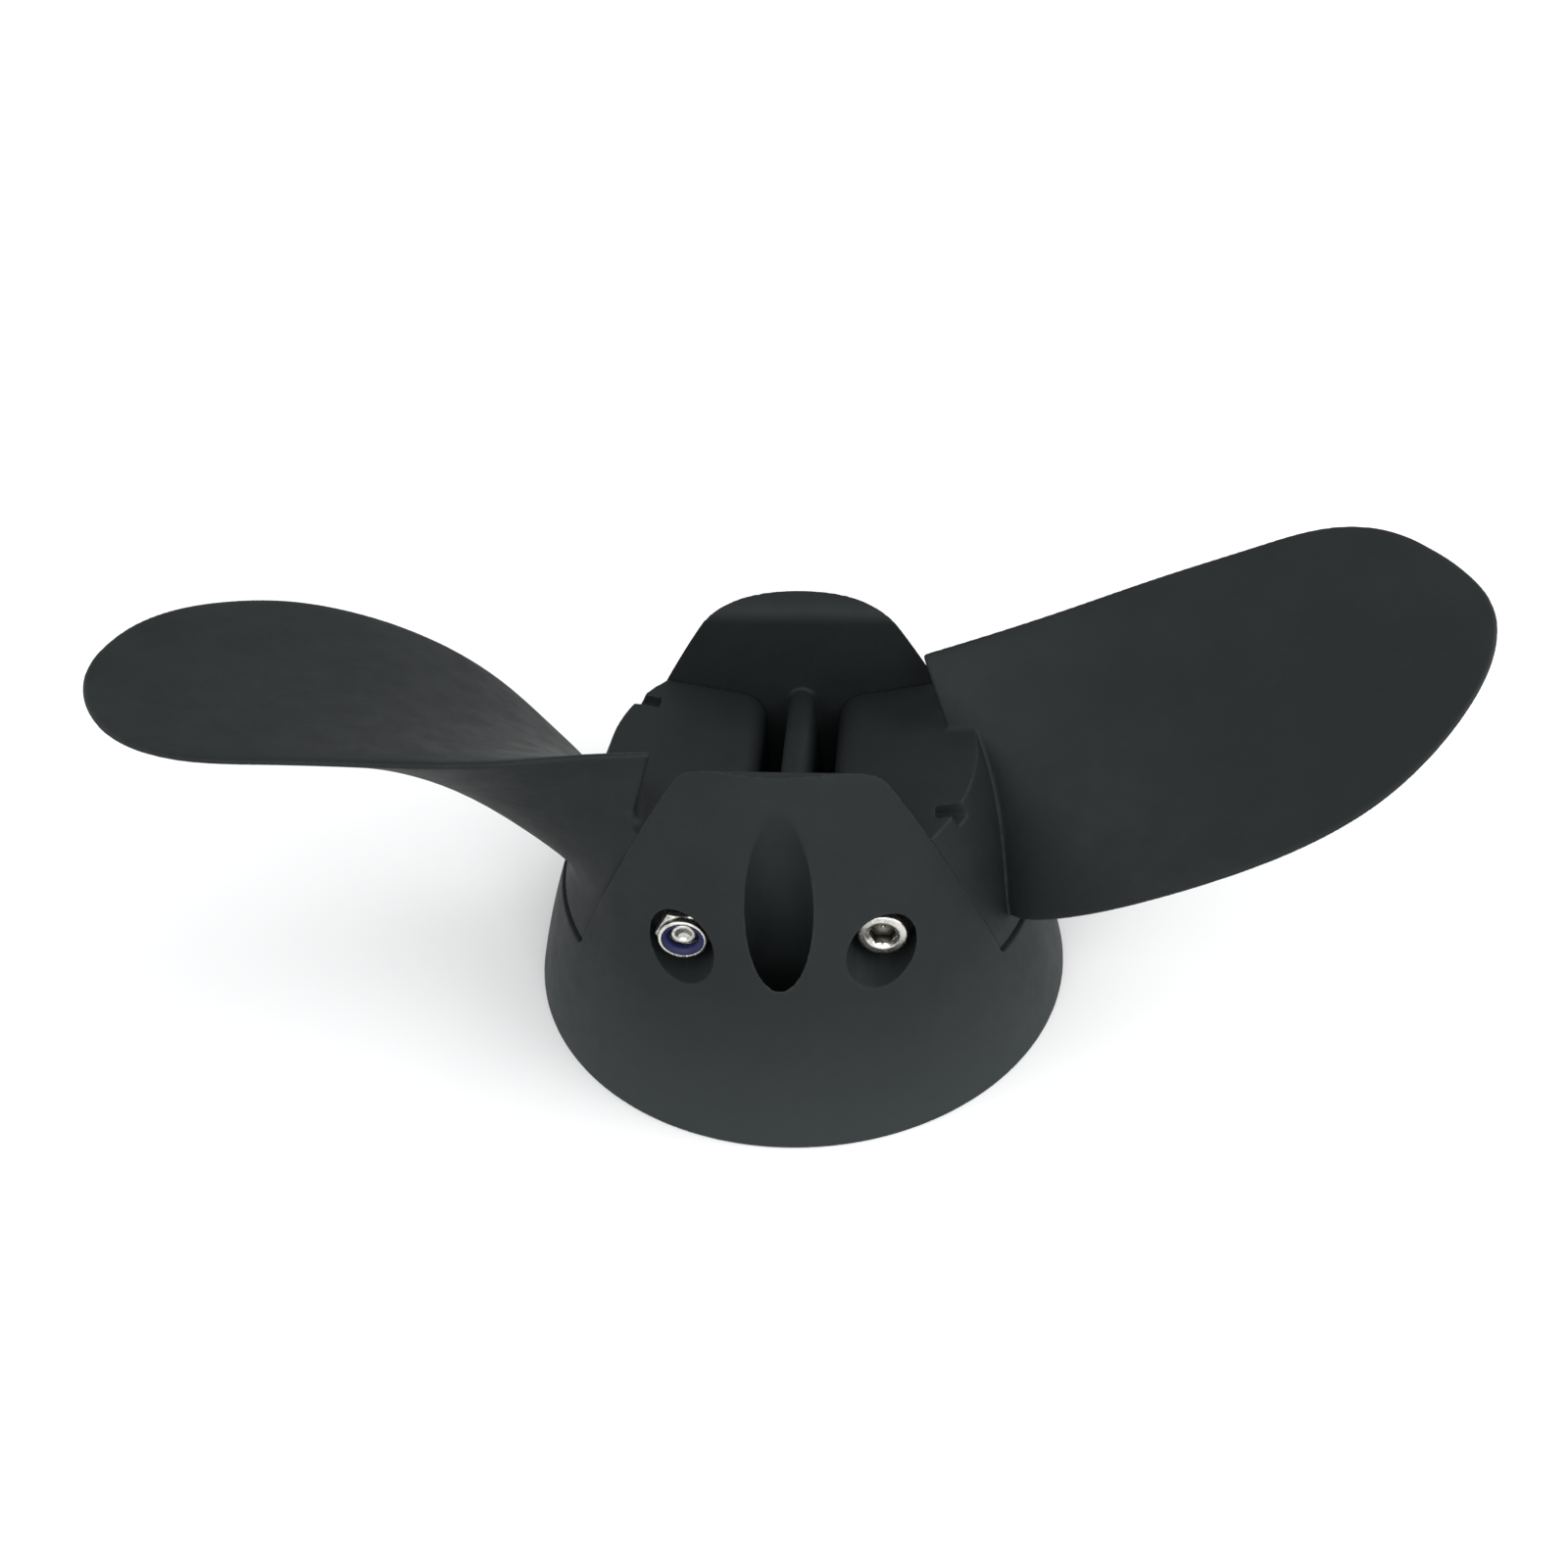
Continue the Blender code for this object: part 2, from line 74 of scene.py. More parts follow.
# Fasteners: sizes, then chamfers and the radii of their edges
SCREW_RADIUS = 3.0
SCREW_LENGTH = 68.5
HEAD_RADIUS = 5.0
HEAD_HEIGHT = 6.0
HEX_KEY_SIZE = 5.0
HEX_KEY_DEPTH = 3.0
THREAD_PITCH = 1.0
THREAD_LENGTH = 24.0
NUT_ACROSS_FLATS = 10.0
NUT_HEX_HEIGHT = 4.4
NUT_HEIGHT = 6.0
COLLAR_RADIUS = 4.9
NYLON_RADIUS = 4.2
NYLON_HEIGHT = 2.4
NYLON_SLACK = 0.05
HEAD_EDGE = 0.55
HEAD_FILLET = 0.25
KEY_EDGE = 0.1
KEY_CONE_RADIUS = 3.35
SCREW_OVERLAP = 2.0
THREAD_DEPTH = 0.55
THREAD_SCALE = 0.8
END_CHAMFER = 0.7
DIMPLE_RADIUS = 2.3
DIMPLE_RISE = 1.6
LIP_EDGE = 0.15
NUT_EDGE = 0.2
NUT_FOOT_CHAMFER_RADIUS = 5.25
NUT_TOP_CHAMFER_RADIUS = 5.15
NUT_CHAMFER_SLOPE = 1.7
NUT_CHAMFER_EDGE = 0.1
NUT_CHAMFER_SCALE = 0.5
COLLAR_FOOT = 1.0
COLLAR_EDGE = 0.3
COLLAR_FILLET = 0.35
NUT_MOUTH_EDGE = 0.12
DISH_WIDTH = 1.2
DISH_DROP = 0.25
DISH_SLOPE = 0.55
DISH_SCALE = 0.87
RING_BORE_GAP = 0.12
RING_BORE_EDGE = 0.25

# Blade and knuckle
KNUCKLE_GAP = 0.5
KNUCKLE_INSET = 0.5
BOSS_RADIUS = 13.8
INNER_REACH = 11.8
INNER_CORNER = 7.0
AFT_FACE_SLOPE = math.radians(12.0)
NOTCH_X = 31.6
NOTCH_Y = 17.5
NOTCH_LENGTH = 3.6
NOTCH_DEPTH = 2.0
TRAILING_EDGE = ((27.0, 17.4, 69.2), (40.0, 21.5, 71.3), (56.0, 27.2, 73.8),
                 (76.0, 33.2, 78.2), (96.0, 38.3, 82.6), (112.0, 41.0, 85.6),
                 (122.0, 38.4, 86.45), (130.0, 32.0, 86.1), (136.3, 22.5, 85.7))
LEADING_EDGE = ((44.5, -13.0, 27.0), (46.0, -19.6, 29.8), (56.0, -28.5, 37.7),
                (70.0, -35.0, 48.3), (86.0, -37.5, 58.0), (100.0, -36.1, 65.1),
                (112.0, -31.6, 71.1), (122.0, -24.0, 76.3), (130.0, -14.6, 80.7),
                (135.8, -4.0, 83.6), (138.2, 4.0, 84.65))
BLADE_TIP = (138.9, 12.5, 85.35)
TIP_THICKNESS = 2.2
ROOT_THICKNESS = 5.2
HOLLOW = 3.0
ROOT_SWELL = 19.0
SWELL_DECAY = 2.1
SWELL_SHARPNESS = 1.3
THINNEST = 0.2
THICKEST_SHARE = 0.3
CHEEK_REACH = 38.0
CHEEK_CLEARANCE = 0.8
CHEEK_SCALE = 0.75
BLADE_STATIONS = 110
CHORD_STEPS = 44
KNOT_STEPS = 24
SHORTEST_CHORD = 4.0

# Mesh cells, and the share of each mesh's triangles that is kept
HUB_CELL = 0.42
BLADE_CELL = 0.42
SMALL_CELL = 0.16
COARSE_FACTOR = 4.0
HUB_SHARE = 0.28
BLADE_SHARE = 0.5
SCREW_SHARE = 0.3
NUT_SHARE = 0.6
CREASE_PULL = 0.08
CREASE_REACH = 0.6
FOIL_BAND = 1.6
BODY_BAND = 2.5

# Boxes that the grids fill, lowest corner and highest corner
HUB_BOX = ((-BASE_RADIUS, -BASE_RADIUS, 0.0),
           (BASE_RADIUS, BASE_RADIUS, HUB_HEIGHT))
BLADE_BOX = ((4.0, -42.0, 22.0), (140.0, 42.0, 90.0))
SCREW_BOX = ((-5.0, -5.0, -37.0), (5.0, 5.0, 38.0))
NUT_BOX = ((-6.0, -6.0, 33.0), (6.0, 6.0, 40.0))
RING_BOX = ((-4.3, -4.3, 36.5), (4.3, 4.3, 40.0))

# Edge radii and fillets of the moulded pieces
BLADE_EDGE = 0.5
EDGE_RADIUS = 0.2
MOUTH_RADIUS = 0.25
BORE_EDGE = 0.3
SLOT_CORNER = 1.2
SEAT_CORNER = 0.3
POCKET_CORNER = 1.0
RECESS_CORNER = 0.8
SOCKET_EDGE = 0.5
RIB_FILLET = 0.8
KNUCKLE_EDGE = 0.25
NOTCH_EDGE = 0.3
CHEEK_CUT_EDGE = 0.8
AFT_FILLET = 0.7
FORE_FILLET = 2.5
FILLET_START = 2.0
FILLET_RUN = 4.0
SHARP_ANGLE = math.radians(38.0)

# Colours of the moulded composite, the steel and the nylon
COMPOSITE_DARK = (0.0090, 0.0110, 0.0115)
COMPOSITE_LIGHT = (0.0108, 0.0129, 0.0134)
# Paler tone that fades in below a height at the hub's foot: painted floor bounce
# light
PAINTED_BOUNCE_TONE = (0.0200, 0.0244, 0.0254)
BOUNCE_FADE_HEIGHT = 0.032
FIBRE_TONE = (0.021, 0.024, 0.025)
WORN_TONE = (0.036, 0.040, 0.042)
SCUFF_TONE = (0.028, 0.031, 0.033)
STEEL_BRIGHT = (0.62, 0.61, 0.57)
STEEL_DULL = (0.33, 0.32, 0.29)
# Dark tone of the painted shade in the steel's hollows
HOLLOW_SHADE_TONE = (0.060, 0.055, 0.043)
NYLON_DARK = (0.008, 0.010, 0.044)
NYLON_LIGHT = (0.013, 0.016, 0.070)

# Camera: orbit angles, distance, aim, roll and lens
CAMERA_AZIMUTH = math.radians(6.346)
CAMERA_ELEVATION = math.radians(39.424)
CAMERA_ROLL = math.radians(-3.162)
CAMERA_DISTANCE = 0.43576
CAMERA_AIM = Vector((-0.00218, 0.0, 0.04784))
CAMERA_LENS = 47.69
SENSOR_WIDTH = 36.0

# Floor: half its side and its level, in metres
FLOOR_HALF = 6.0
FLOOR_LEVEL = -0.0002

# Softboxes: distance in metres, elevation and size
LIGHT_DISTANCE = 2.0
LIGHT_ELEVATION = math.radians(35.0)
LIGHT_WIDTH = 2.4
LIGHT_HEIGHT = 1.4


# Distances: numpy functions of x, y and z in millimetres, below zero inside.
# On a slanted face a scale brings the distance near the true one.

def round_cut(a, b, radius):
    """Both shapes at once, with a rounded edge where they meet."""
    corner = np.hypot(np.maximum(a + radius, 0.0), np.maximum(b + radius, 0.0))
    return np.minimum(-radius, np.maximum(a, b)) + corner


def round_join(a, b, radius):
    """Either shape, with a fillet where they meet."""
    return -round_cut(-a, -b, radius)


def round_remove(a, b, radius):
    """The first shape without the second, with a rounded edge."""
    return round_cut(a, -b, radius)


def hub_radius(height):
    """Outer radius and taper of the hub at a height: an arc, then a cone."""
    bend = SHOULDER_HEIGHT / (math.sin(CONE_TAPER) - math.sin(BASE_TAPER))
    curved = np.clip(height, ARC_FOOT, SHOULDER_HEIGHT)
    taper = np.arcsin(math.sin(BASE_TAPER) + curved / bend)
    radius = BASE_RADIUS - bend * (math.cos(BASE_TAPER) - np.cos(taper))
    cone = np.maximum(height - SHOULDER_HEIGHT, 0.0) * math.tan(CONE_TAPER)
    return radius - cone, taper


def skin(x, y, z, inset=0.0):
    """Distance from the hub's turned outer surface."""
    radius, taper = hub_radius(z)
    return (np.hypot(x, y) - radius) * np.cos(taper) + inset


def hub_shape(x, y, z):
    """The hub moulding."""
    body = round_cut(skin(x, y, z), -z, MOUTH_RADIUS)
    body = round_cut(body, z - HUB_HEIGHT, MOUTH_RADIUS)
    mouth_z = HUB_HEIGHT - SLOT_MOUTH_RADIUS
    rise = np.clip(z - mouth_z, 0.0, SLOT_MOUTH_RADIUS)
    flare = SLOT_MOUTH_RADIUS - np.sqrt(
        np.maximum(SLOT_MOUTH_RADIUS ** 2 - rise ** 2, 0.0))
    slot = round_cut(np.abs(y) - SLOT_HALF_WIDTH - flare, SLOT_FLOOR - z, SLOT_CORNER)
    body = round_remove(body, slot, EDGE_RADIUS)
    crest = 0.5 * RIB_TOP_WIDTH
    below = np.maximum(RIB_TOP - crest - z, 0.0)
    flank = (np.abs(x) - crest - below * math.tan(RIB_DRAFT)) * math.cos(RIB_DRAFT)
    dome = np.hypot(x, z - RIB_TOP + crest) - crest
    rib = np.where(z > RIB_TOP - crest, dome, flank)
    rib = np.maximum(rib, np.maximum(np.abs(y) - SLOT_HALF_WIDTH - RIB_OVERLAP,
                                     SLOT_FLOOR - RIB_OVERLAP - z))
    body = round_join(body, rib, RIB_FILLET)
    off_pivot = np.hypot(np.abs(x) - PIVOT_X, z - PIVOT_Z)
    body = round_remove(body, off_pivot - SCREW_RADIUS - CLEARANCE, BORE_EDGE)
    seat = np.where(x * y < 0.0, HEAD_SEAT_Y, NUT_SEAT_Y)
    mouth = round_cut(off_pivot - COUNTERBORE_RADIUS, seat - np.abs(y), SEAT_CORNER)
    body = round_remove(body, mouth, MOUTH_RADIUS)
    off_pocket = np.hypot(x, np.abs(y) - POCKET_Y)
    pocket = round_cut(off_pocket - POCKET_RADIUS, POCKET_FLOOR - z, POCKET_CORNER)
    body = round_remove(body, pocket, MOUTH_RADIUS)
    body = round_remove(body, off_pocket - MOUNT_HOLE_RADIUS, BORE_EDGE)
    off_axis = np.hypot(x, y)
    recess = round_cut(off_axis - RECESS_RADIUS, z - RECESS_DEPTH, RECESS_CORNER)
    body = round_remove(body, recess, EDGE_RADIUS)
    socket = round_cut(off_axis - SOCKET_RADIUS, z - SOCKET_DEPTH, RECESS_CORNER)
    return round_remove(body, socket, SOCKET_EDGE)


def knuckle_shape(x, y, z):
    """The +X blade's knuckle, before the bore and the notch."""
    dx, dz = x - PIVOT_X, z - PIVOT_Z
    forward = np.where(dx < 0.0, np.hypot(dx, dz), -dz) - BOSS_RADIUS
    forward = np.where(dz < 0.0, forward, -BOSS_RADIUS)
    aft = (dz * math.cos(AFT_FACE_SLOPE) - dx * math.sin(AFT_FACE_SLOPE)
           - BOSS_RADIUS)
    corner_x = INNER_CORNER - INNER_REACH
    corner_z = ((BOSS_RADIUS - INNER_CORNER + corner_x * math.sin(AFT_FACE_SLOPE))
                / math.cos(AFT_FACE_SLOPE))
    turn = np.degrees(np.arctan2(dz - corner_z, dx - corner_x)) % 360.0
    on_corner = (turn > 90.0 + math.degrees(AFT_FACE_SLOPE)) & (turn < 180.0)
    aft = np.where(on_corner,
                   np.hypot(dx - corner_x, dz - corner_z) - INNER_CORNER,
                   np.maximum(aft, -dx - INNER_REACH))
    boss = np.maximum(forward, aft)
    width = SLOT_HALF_WIDTH - KNUCKLE_GAP
    body = round_cut(boss, np.abs(y) - width, KNUCKLE_EDGE)
    return round_cut(body, skin(x, y, z, KNUCKLE_INSET), KNUCKLE_EDGE)


def clear_of_hub(x, y, z):
    """Space of the hub's solid, grown by the clearance, outside the slot."""
    slot = np.maximum(np.abs(y) - SLOT_HALF_WIDTH + CLEARANCE,
                      SLOT_FLOOR + CLEARANCE - z)
    return np.maximum(skin(x, y, z, -CLEARANCE), -slot)


def notch_shape(x, y, z):
    """Space of the small step in the knuckle's outer rim."""
    aft_face = (PIVOT_Z + BOSS_RADIUS * math.cos(AFT_FACE_SLOPE)
                + (NOTCH_X - PIVOT_X) * math.tan(AFT_FACE_SLOPE))
    middle = NOTCH_X + 0.75 * NOTCH_LENGTH
    sides = np.maximum(np.abs(x - middle) - 1.25 * NOTCH_LENGTH,
                       np.abs(y + NOTCH_Y) - 0.5 * NOTCH_LENGTH)
    return np.maximum(sides, aft_face - NOTCH_DEPTH - z)


def hexagon(x, y, across):
    """Distance from a hexagonal bar along z, a flat towards +y."""
    half = 0.5 * across
    slant = 0.5 * math.sqrt(3.0)
    return np.maximum(np.abs(y), np.abs(x) * slant + np.abs(y) * 0.5) - half


def thread(x, y, z, start, end):
    """Radial depth of a V thread between two heights."""
    phase = (z / THREAD_PITCH - np.arctan2(y, x) / (2.0 * math.pi)) % 1.0
    ridge = np.abs(phase - 0.5) * 2.0
    fade = np.clip((z - start) / THREAD_PITCH, 0.0, 1.0)
    return THREAD_DEPTH * ridge * fade * (z < end + THREAD_PITCH)


def screw_shape(x, y, z):
    """Socket-head screw along z, the head's face at the lowest z."""
    seat = -HEAD_SEAT_Y - CLEARANCE
    face = seat - HEAD_HEIGHT
    end = seat + SCREW_LENGTH
    off_axis = np.hypot(x, y)
    head = round_cut(off_axis - HEAD_RADIUS,
                     np.maximum(face - z, z - seat), HEAD_EDGE)
    socket = round_cut(hexagon(x, y, HEX_KEY_SIZE), z - face - HEX_KEY_DEPTH,
                       KEY_EDGE)
    cone = (off_axis + (z - face) - KEY_CONE_RADIUS) * math.sqrt(0.5)
    head = round_remove(head, np.minimum(socket, cone), LIP_EDGE)
    depth = thread(x, y, z, end - THREAD_LENGTH, end)
    shank = (off_axis - SCREW_RADIUS + depth) * THREAD_SCALE
    tip = (off_axis + (z - end) - SCREW_RADIUS + END_CHAMFER) * math.sqrt(0.5)
    start = face + (HEAD_HEIGHT - SCREW_OVERLAP)
    shank = np.maximum(np.maximum(shank, tip), np.maximum(z - end, start - z))
    dimple = np.hypot(off_axis, z - end - DIMPLE_RISE) - DIMPLE_RADIUS
    shank = round_remove(shank, dimple, LIP_EDGE)
    return round_join(head, shank, HEAD_FILLET)


def nut_shape(x, y, z):
    """Lock nut along z: chamfered hexagon, collar and rolled lip."""
    seat = NUT_SEAT_Y + CLEARANCE
    top = seat + NUT_HEIGHT
    off_axis = np.hypot(x, y)
    hexa = round_cut(hexagon(x, y, NUT_ACROSS_FLATS),
                     np.maximum(seat - z, z - seat - NUT_HEX_HEIGHT), NUT_EDGE)
    lower = (off_axis - NUT_FOOT_CHAMFER_RADIUS
             - (z - seat) * NUT_CHAMFER_SLOPE) * NUT_CHAMFER_SCALE
    upper = (off_axis - NUT_TOP_CHAMFER_RADIUS
             + (z - seat - NUT_HEX_HEIGHT) * NUT_CHAMFER_SLOPE) * NUT_CHAMFER_SCALE
    hexa = round_cut(hexa, np.maximum(lower, upper), NUT_CHAMFER_EDGE)
    collar = round_cut(off_axis - COLLAR_RADIUS,
                       np.maximum(seat + COLLAR_FOOT - z, z - top), COLLAR_EDGE)
    body = round_join(hexa, collar, COLLAR_FILLET)
    ring_seat = np.maximum(off_axis - NYLON_RADIUS - NYLON_SLACK,
                           top - NYLON_HEIGHT - CLEARANCE - z)
    body = round_remove(body, ring_seat, NUT_MOUTH_EDGE)
    return round_remove(body, off_axis - SCREW_RADIUS - CLEARANCE, NUT_EDGE)


def ring_shape(x, y, z):
    """Nylon ring of the lock nut, its face dished towards the screw."""
    top = NUT_SEAT_Y + CLEARANCE + NUT_HEIGHT
    off_axis = np.hypot(x, y)
    inward = np.clip(NYLON_RADIUS - off_axis, 0.0, DISH_WIDTH)
    dish = (z - top + DISH_DROP + DISH_SLOPE * inward) * DISH_SCALE
    body = round_cut(off_axis - NYLON_RADIUS,
                     np.maximum(dish, top - NYLON_HEIGHT - z), LIP_EDGE)
    return round_remove(body, off_axis - SCREW_RADIUS - RING_BORE_GAP,
                        RING_BORE_EDGE)


# Meshes from distances

def grid_axes(low, high, cell):
    """Grid positions along x, y and z, as arrays that broadcast."""
    axes = [np.arange(lo - 2.0 * cell, hi + 3.0 * cell, cell, dtype=np.float32)
            for lo, hi in zip(low, high)]
    return axes, np.meshgrid(*axes, indexing="ij", sparse=True)


def slope_of(shape, points, step):
    """Value and slope of a distance function at each point."""
    x, y, z = points.T
    here = shape(x, y, z)
    slope = np.array([shape(x + step, y, z) - here,
                      shape(x, y + step, z) - here,
                      shape(x, y, z + step) - here]).T / step
    return here, slope


def surface_net(values, axes, cell):
    """Crossings of the zero surface with the grid's edges, and their quads.

    Each quad goes round one crossing and names the four cells beside it.
    """
    inside = values < 0.0
    strides = np.array([values.shape[1] * values.shape[2], values.shape[2], 1])
    crossings, quads = [], []
    for axis in range(3):
        first = [slice(None)] * 3
        second = [slice(None)] * 3
        first[axis], second[axis] = slice(0, -1), slice(1, None)
        a, b = inside[tuple(first)], inside[tuple(second)]
        where = np.array(np.nonzero(a != b))
        low = values[tuple(where)].astype(float)
        step = np.zeros((3, 1), dtype=int)
        step[axis] = 1
        high = values[tuple(where + step)]
        point = where.astype(float)
        point[axis] += low / (low - high)
        crossings.append(point.T)
        base = strides @ where
        u, v = (axis + 1) % 3, (axis + 2) % 3
        quad = np.array([base, base - strides[u],
                         base - strides[u] - strides[v], base - strides[v]]).T
        flip = low > 0.0
        quad[flip] = quad[flip][:, ::-1]
        quads.append(quad)
    origin = np.array([axis[0] for axis in axes])
    places = np.concatenate(crossings) * cell + origin
    quads = np.concatenate(quads)
    _, numbers = np.unique(quads, return_inverse=True)
    return places, numbers.reshape(quads.shape)


def cell_sums(quads, values):
    """Sum of the values of the crossings beside each cell."""
    return np.bincount(quads.ravel(), np.repeat(values, 4))


def cell_points(places, quads):
    """Mean place of the crossings beside each cell."""
    count = np.bincount(quads.ravel())
    sums = [cell_sums(quads, column) for column in places.T]
    return np.array(sums).T / count[:, None]


def crease_points(places, quads, shape, cell):
    """Place for each cell's point where the tangent planes beside it meet."""
    _, normals = slope_of(shape, places, 0.03 * cell)
    length = np.sqrt((normals ** 2).sum(1))
    normals /= np.maximum(length, 0.1)[:, None]
    middle = cell_points(places, quads)
    matrix = np.empty((len(middle), 3, 3))
    for row in range(3):
        for column in range(3):
            matrix[:, row, column] = cell_sums(
                quads, normals[:, row] * normals[:, column])
    offset = (normals * places).sum(1)
    right = np.array([cell_sums(quads, normals[:, row] * offset)
                      for row in range(3)]).T
    right -= (matrix * middle[:, None, :]).sum(2)
    matrix += np.eye(3) * CREASE_PULL
    move = np.linalg.solve(matrix, right[:, :, None])[:, :, 0]
    return middle + np.clip(move, -CREASE_REACH * cell, CREASE_REACH * cell)


def pull_in(points, shape, cell, rounds=2):
    """Move points onto the surface along its slope."""
    for _ in range(rounds):
        here, slope = slope_of(shape, points, 0.1 * cell)
        length = np.maximum((slope ** 2).sum(1), 0.25)
        move = np.clip(here, -0.3 * cell, 0.3 * cell) / length
        points = points - slope * move[:, None]
    return points


def mesh_object(name, points, quads, share, matrix=Matrix.Identity(4)):
    """Object of quads in millimetres, placed in metres and thinned out."""
    mesh = bpy.data.meshes.new(name)
    mesh.from_pydata(points.tolist(), [], quads.tolist())
    mesh.transform(matrix @ Matrix.Scale(MM, 4))
    thing = bpy.data.objects.new(name, mesh)
    bpy.context.scene.collection.objects.link(thing)
    thin = thing.modifiers.new("thin", "DECIMATE")
    thin.ratio = share
    shown = thing.evaluated_get(bpy.context.evaluated_depsgraph_get())
    thing.data = bpy.data.meshes.new_from_object(shown)
    thing.modifiers.clear()
    thing.data.name = name
    thing.data.shade_smooth()
    thing.data.set_sharp_from_angle(angle=SHARP_ANGLE)
    return thing


def net_of(shape, low, high, cell):
    """Surface of a distance function inside a box."""
    axes, (x, y, z) = grid_axes(low, high, cell)
    places, quads = surface_net(shape(x, y, z), axes, cell)
    points = crease_points(places, quads, shape, cell)
    return pull_in(points, shape, cell), quads


def dress(piece, node, body, material):
    """Give a piece its material and its body, and hide the node that it stands for.
    """
    piece.data.materials.clear()
    piece.data.materials.append(material)
    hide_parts(node)
    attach(piece, body)


# Blade: a loft between its two edges, joined to the knuckle

def station_fraction(index, count):
    """Station spacing that closes up towards the tip."""
    return math.sin(0.5 * math.pi * index / count)


def smooth_curve(corners, steps):
    """Points of a curve through the corners that bends without a jump."""
    knots = np.array(corners)
    gaps = np.linalg.norm(np.diff(knots, axis=0), axis=1)
    slopes = np.diff(knots, axis=0) / gaps[:, None]
    matrix = np.eye(len(knots))
    right = np.zeros((len(knots), 3))
    for index in range(1, len(knots) - 1):
        before, after = gaps[index - 1], gaps[index]
        matrix[index, index - 1:index + 2] = before, 2.0 * (before + after), after
        right[index] = 6.0 * (slopes[index] - slopes[index - 1])
    bend = np.linalg.solve(matrix, right)
    points = []
    for index, gap in enumerate(gaps):
        for step in range(steps):
            past = gap * step / steps
            left = gap - past
            points.append((bend[index] * left ** 3 + bend[index + 1] * past ** 3)
                          / (6.0 * gap)
                          + (knots[index] / gap - bend[index] * gap / 6.0) * left
                          + (knots[index + 1] / gap
                             - bend[index + 1] * gap / 6.0) * past)
    return np.array([*points, knots[-1]])


def spaced(fine, count):
    """Stations along a finely drawn edge, from its root to the tip."""
    lengths = np.linalg.norm(np.diff(fine, axis=0), axis=1)
    lengths = np.concatenate([[0.0], np.cumsum(lengths)])
    wanted = np.array([station_fraction(index, count)
                       for index in range(count + 1)]) * lengths[-1]
    return [Vector(row) for row in
            np.array([np.interp(wanted, lengths, c) for c in fine.T]).T]


def blade_edges():
    """Leading and trailing edge, halves of one curve that rounds the tip."""
    whole = smooth_curve((*LEADING_EDGE, BLADE_TIP, *reversed(TRAILING_EDGE)),
                         KNOT_STEPS)
    middle = len(LEADING_EDGE) * KNOT_STEPS
    return (spaced(whole[:middle + 1], BLADE_STATIONS),
            spaced(whole[middle:][::-1], BLADE_STATIONS))


def inset(edge, other, distance):
    """An edge curve moved towards the other one, square to its own run."""
    moved = []
    for index, point in enumerate(edge):
        run = edge[min(index + 1, len(edge) - 1)] - edge[max(index - 1, 0)]
        run.normalize()
        across = other[index] - point
        across -= run * across.dot(run)
        moved.append(point + across.normalized() * distance)
    return moved


def section_ring(leading, trailing, span_dir, outboard):
    """One closed blade section, hollow aft and swollen forward at the root.

    It is thinner on both faces by the radius that the edges get later.
    """
    chord = trailing - leading
    normal = span_dir.cross(chord).normalized()
    thickness = ROOT_THICKNESS + (TIP_THICKNESS - ROOT_THICKNESS) * outboard
    thickness = min(thickness, THICKEST_SHARE * chord.length) - 2.0 * BLADE_EDGE
    thickness = max(thickness, THINNEST)
    hollow = HOLLOW * (1.0 - outboard ** 2)
    swell = ROOT_SWELL * (1.0 - outboard) ** SWELL_DECAY
    aft, fore = [], []
    for step in range(1, CHORD_STEPS):
        along = 0.5 * (1.0 - math.cos(math.pi * step / CHORD_STEPS))
        bulge = 4.0 * along * (1.0 - along)
        half = 0.5 * thickness * math.sqrt(bulge)
        middle = leading + chord * along - normal * hollow * bulge
        aft.append(middle + normal * half)
        fore.append(middle - normal * (half + swell * bulge ** SWELL_SHARPNESS))
    return [leading, *aft, trailing, *reversed(fore)]


def foil_tree():
    """Loft of the +X blade, for distance look-ups."""
    tip = Vector(BLADE_TIP)
    leading, trailing = blade_edges()
    span_dir = (tip - (trailing[0] + leading[0]) * 0.5).normalized()
    leading, trailing = (inset(leading, trailing, BLADE_EDGE),
                         inset(trailing, leading, BLADE_EDGE))
    body = bmesh.new()
    rings = []
    for index in range(BLADE_STATIONS):
        if (trailing[index] - leading[index]).length < SHORTEST_CHORD:
            break
        outboard = station_fraction(index, BLADE_STATIONS)
        ring = section_ring(leading[index], trailing[index], span_dir, outboard)
        rings.append([body.verts.new(point) for point in ring])
    point = body.verts.new(tip - span_dir * BLADE_EDGE)
    count = len(rings[0])
    body.faces.new(rings[0])
    for index in range(count):
        after = (index + 1) % count
        for inner, outer in zip(rings, rings[1:]):
            body.faces.new((inner[index], inner[after],
                            outer[after], outer[index]))
        body.faces.new((rings[-1][index], rings[-1][after], point))
    bmesh.ops.recalc_face_normals(body, faces=body.faces)
    bmesh.ops.triangulate(body, faces=body.faces)
    body.normal_update()
    body.faces.ensure_lookup_table()
    corners = np.array([[tuple(v.co) for v in f.verts] for f in body.faces])
    normals = np.array([[tuple(v.normal) for v in f.verts] for f in body.faces])
    tree = BVHTree.FromBMesh(body)
    body.free()
    return tree, corners, normals


